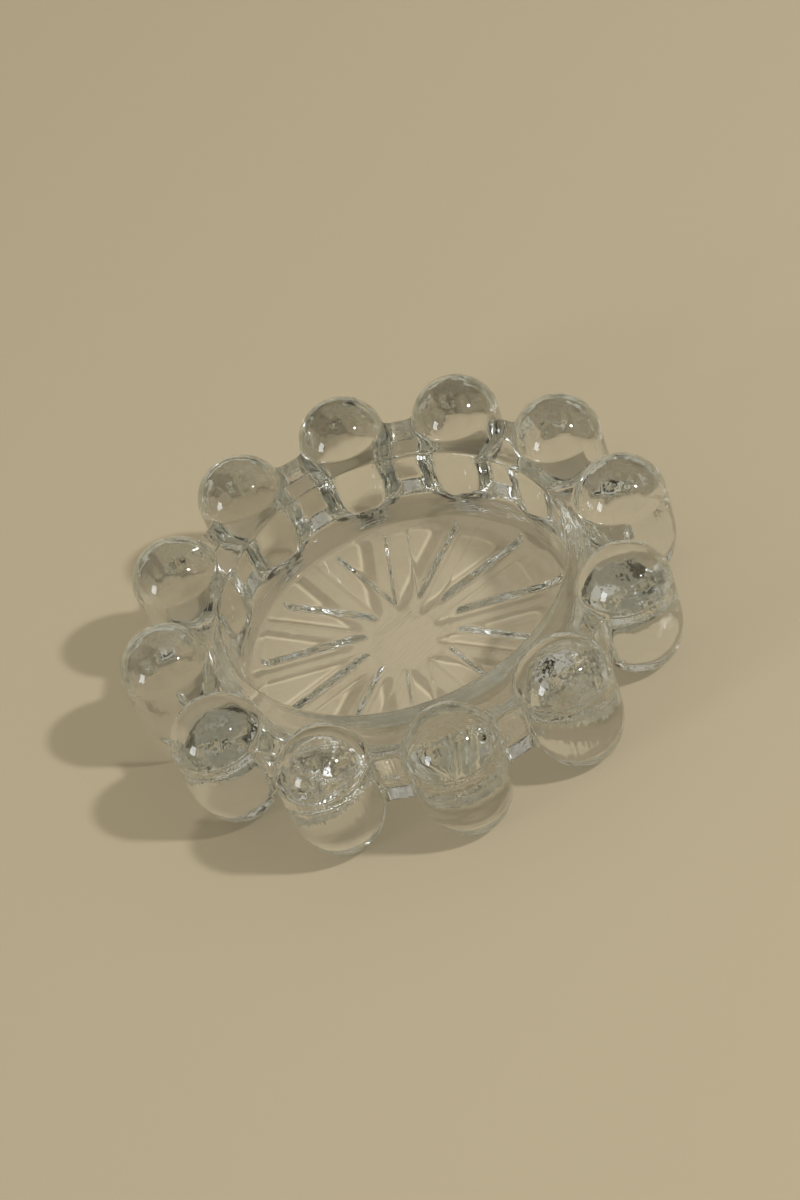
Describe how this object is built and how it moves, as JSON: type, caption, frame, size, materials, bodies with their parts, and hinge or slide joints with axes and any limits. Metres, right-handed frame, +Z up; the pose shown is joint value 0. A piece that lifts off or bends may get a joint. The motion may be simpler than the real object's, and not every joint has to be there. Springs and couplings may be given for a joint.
{
  "type": "glass candle holder",
  "caption": "Low round candle dish of thick clear pressed glass, standing on a ring of round-ended posts with dome-shaped knobs, and with a ring of raised petals on its floor.",
  "frame": {"origin": "centre of the ring of posts, on the table that they stand on", "axes": "+Z up along the dish axis, +X through the middle of the first post"},
  "size_m": [0.1192, 0.1192, 0.0295],
  "materials": {
    "glass": "clear polished pressed glass, faintly green-grey where it is thick"
  },
  "bodies": {
    "root": {"dish_floor": "glass", "dish_wall": "glass", "post_01": "glass", "post_02": "glass", "post_03": "glass", "post_04": "glass", "post_05": "glass", "post_06": "glass", "post_07": "glass", "post_08": "glass", "post_09": "glass", "post_10": "glass", "post_11": "glass", "post_12": "glass", "web_01": "glass", "web_02": "glass", "web_03": "glass", "web_04": "glass", "web_05": "glass", "web_06": "glass", "web_07": "glass", "web_08": "glass", "web_09": "glass", "web_10": "glass", "web_11": "glass", "web_12": "glass", "knob_01": "glass", "knob_02": "glass", "knob_03": "glass", "knob_04": "glass", "knob_05": "glass", "knob_06": "glass", "knob_07": "glass", "knob_08": "glass", "knob_09": "glass", "knob_10": "glass", "knob_11": "glass", "knob_12": "glass"}
  },
  "joints": []
}
